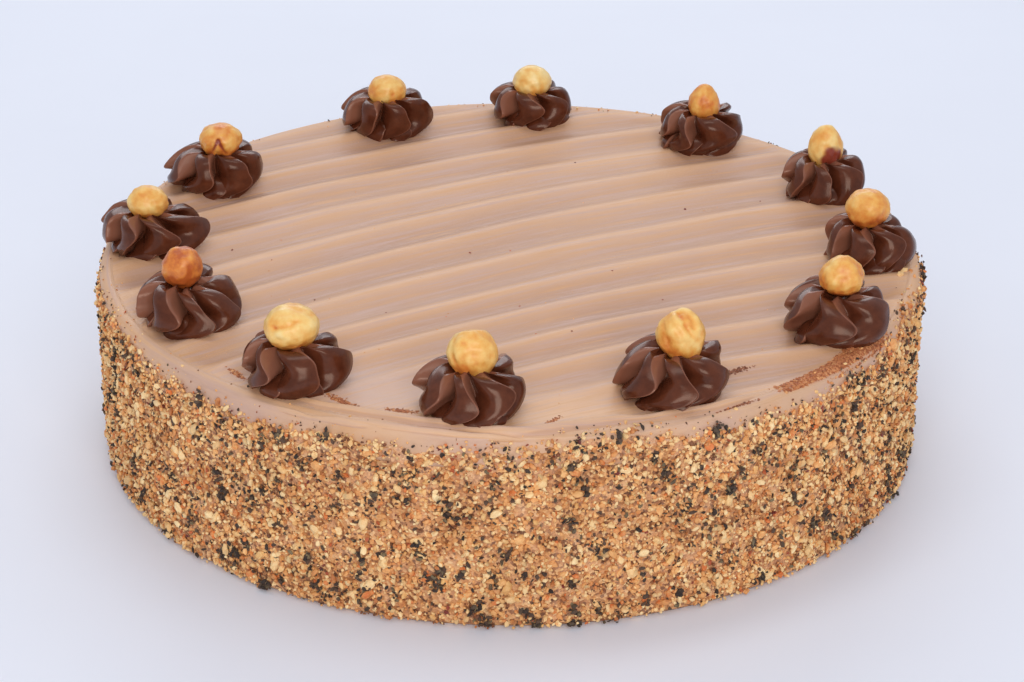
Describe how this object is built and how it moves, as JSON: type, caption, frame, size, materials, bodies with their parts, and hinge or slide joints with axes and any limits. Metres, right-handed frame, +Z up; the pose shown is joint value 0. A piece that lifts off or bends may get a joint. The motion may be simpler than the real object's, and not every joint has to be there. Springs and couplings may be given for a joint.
{
  "type": "hazelnut cream torte",
  "caption": "Whole round layer cake with a combed hazelnut cream top, a wall coated in chopped nuts, and a ring of piped chocolate rosettes, each topped with a toasted hazelnut.",
  "frame": {"origin": "middle of the cake's flat underside", "axes": "+Z up; -Y towards the front of the picture; +X to the right"},
  "size_m": [0.2623, 0.2625, 0.086],
  "materials": {
    "chopped_nut_coat": "rough chopped nuts on cream",
    "hazelnut_cream": "satin, combed",
    "ganache": "smooth, softly glossy",
    "toasted_hazelnut": "satin, toasted"
  },
  "bodies": {
    "root": {"cake": "chopped_nut_coat", "cream_top": "hazelnut_cream", "rosette_01": "ganache", "rosette_02": "ganache", "rosette_03": "ganache", "rosette_04": "ganache", "rosette_05": "ganache", "rosette_06": "ganache", "rosette_07": "ganache", "rosette_08": "ganache", "rosette_09": "ganache", "rosette_10": "ganache", "rosette_11": "ganache", "rosette_12": "ganache", "hazelnut_01": "toasted_hazelnut", "hazelnut_02": "toasted_hazelnut", "hazelnut_03": "toasted_hazelnut", "hazelnut_04": "toasted_hazelnut", "hazelnut_05": "toasted_hazelnut", "hazelnut_06": "toasted_hazelnut", "hazelnut_07": "toasted_hazelnut", "hazelnut_08": "toasted_hazelnut", "hazelnut_09": "toasted_hazelnut", "hazelnut_10": "toasted_hazelnut", "hazelnut_11": "toasted_hazelnut", "hazelnut_12": "toasted_hazelnut"}
  },
  "joints": []
}
